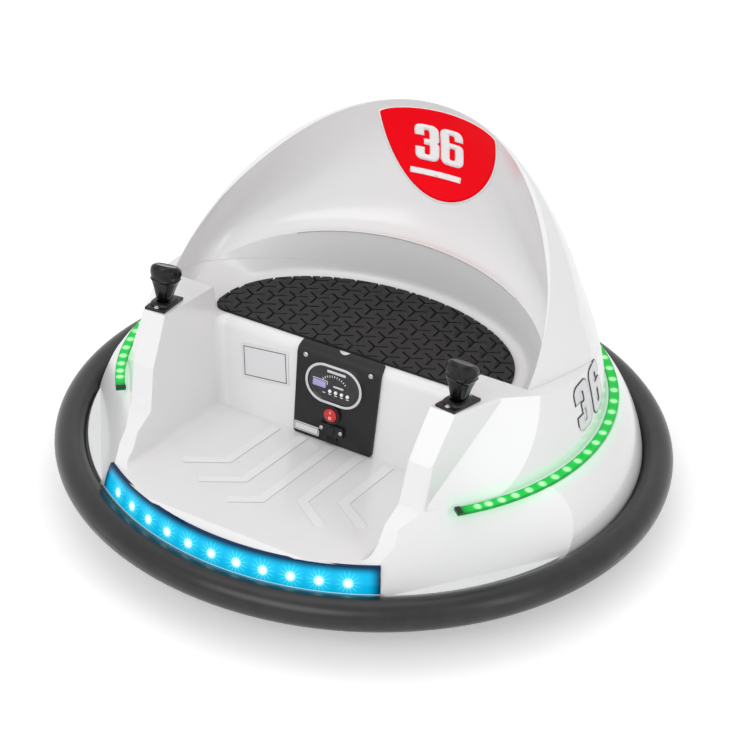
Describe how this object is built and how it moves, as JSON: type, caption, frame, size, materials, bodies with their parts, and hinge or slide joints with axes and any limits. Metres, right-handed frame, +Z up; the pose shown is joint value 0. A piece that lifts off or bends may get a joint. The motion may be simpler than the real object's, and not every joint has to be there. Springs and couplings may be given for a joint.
{
  "type": "child's round ride-on bumper car",
  "caption": "Round ride-on bumper car for a child: white moulded body with seat and arched backrest, rubber ring, drive wheels, swivel casters and tilting driving sticks.",
  "frame": {"origin": "on the floor, under the middle of the bumper ring", "axes": "+Z up, the front of the car is -Y, +X is the driver's left"},
  "size_m": [0.7199, 0.72, 0.4214],
  "materials": {
    "body_plastic": "glossy moulded white",
    "ring_rubber": "satin",
    "pan_plastic": "matt moulded",
    "mat_foam": "matt, grooved",
    "black_plastic": "satin",
    "bright_trim": "polished",
    "display_black": "glossy",
    "switch_red": "glossy",
    "label_white": "printed film",
    "lens_blue": "clear over lamps",
    "strip_green": "clear over lamps",
    "battery_case": "matt",
    "knob_black": "glossy",
    "gearbox_plastic": "matt",
    "axle_steel": "drawn",
    "hub_plastic": "satin",
    "tyre_rubber": "matt",
    "caster_steel": "zinc plated",
    "caster_rubber": "satin"
  },
  "bodies": {
    "root": {"axle_bracket_left": "gearbox_plastic", "axle_bracket_right": "gearbox_plastic", "backrest_hood": "body_plastic", "base_pan": "pan_plastic", "battery_block": "battery_case", "bumper_ring": "ring_rubber", "caster_plate_front": "caster_steel", "caster_plate_rear": "caster_steel", "control_panel": "black_plastic", "drive_axle_left": "axle_steel", "drive_axle_right": "axle_steel", "front_lens": "lens_blue", "gearbox_left": "gearbox_plastic", "gearbox_right": "gearbox_plastic", "label_plate": "label_white", "light_strip_left": "strip_green", "light_strip_right": "strip_green", "lower_body": "body_plastic", "player_bezel": "bright_trim", "player_face": "display_black", "rocker_bezel": "black_plastic", "rocker_switch": "switch_red", "seat_pad": "mat_foam", "socket_cover": "black_plastic", "stick_plate_left": "black_plastic", "stick_plate_right": "black_plastic", "tag_plate": "label_white"},
    "drive_wheel_left": {"drive_hub_left": "hub_plastic", "drive_tyre_left": "tyre_rubber"},
    "drive_wheel_right": {"drive_hub_right": "hub_plastic", "drive_tyre_right": "tyre_rubber"},
    "caster_front": {"caster_fork_front": "caster_steel", "caster_axle_front": "axle_steel"},
    "caster_rear": {"caster_fork_rear": "caster_steel", "caster_axle_rear": "axle_steel"},
    "caster_wheel_front": {"caster_wheel_front": "caster_rubber"},
    "caster_wheel_rear": {"caster_wheel_rear": "caster_rubber"},
    "stick_left": {"joystick_left": "knob_black"},
    "stick_right": {"joystick_right": "knob_black"}
  },
  "joints": [
    {"name": "drive_wheel_left_spin", "type": "hinge", "parent": "root", "child": "drive_wheel_left", "pos_m": [0.222, 0, 0.062], "axis": [1, 0, 0], "continuous": true},
    {"name": "drive_wheel_right_spin", "type": "hinge", "parent": "root", "child": "drive_wheel_right", "pos_m": [-0.222, 0, 0.062], "axis": [1, 0, 0], "continuous": true},
    {"name": "caster_front_swivel", "type": "hinge", "parent": "root", "child": "caster_front", "pos_m": [0, -0.225, 0.055], "axis": [0, 0, 1], "continuous": true},
    {"name": "caster_front_spin", "type": "hinge", "parent": "caster_front", "child": "caster_wheel_front", "pos_m": [0, -0.205, 0.024], "axis": [1, 0, 0], "continuous": true},
    {"name": "caster_rear_swivel", "type": "hinge", "parent": "root", "child": "caster_rear", "pos_m": [0, 0.225, 0.055], "axis": [0, 0, 1], "continuous": true},
    {"name": "caster_rear_spin", "type": "hinge", "parent": "caster_rear", "child": "caster_wheel_rear", "pos_m": [0, 0.245, 0.024], "axis": [1, 0, 0], "continuous": true},
    {"name": "stick_left_tilt", "type": "hinge", "parent": "root", "child": "stick_left", "pos_m": [0.183, -0.14317, 0.22465], "axis": [0.9879, -0.1538, 0.0202], "range_deg": [-15, 15], "stiffness_Nm_per_rad": 0.4},
    {"name": "stick_right_tilt", "type": "hinge", "parent": "root", "child": "stick_right", "pos_m": [-0.183, -0.14317, 0.22465], "axis": [0.9879, 0.1538, -0.0202], "range_deg": [-15, 15], "stiffness_Nm_per_rad": 0.4}
  ]
}
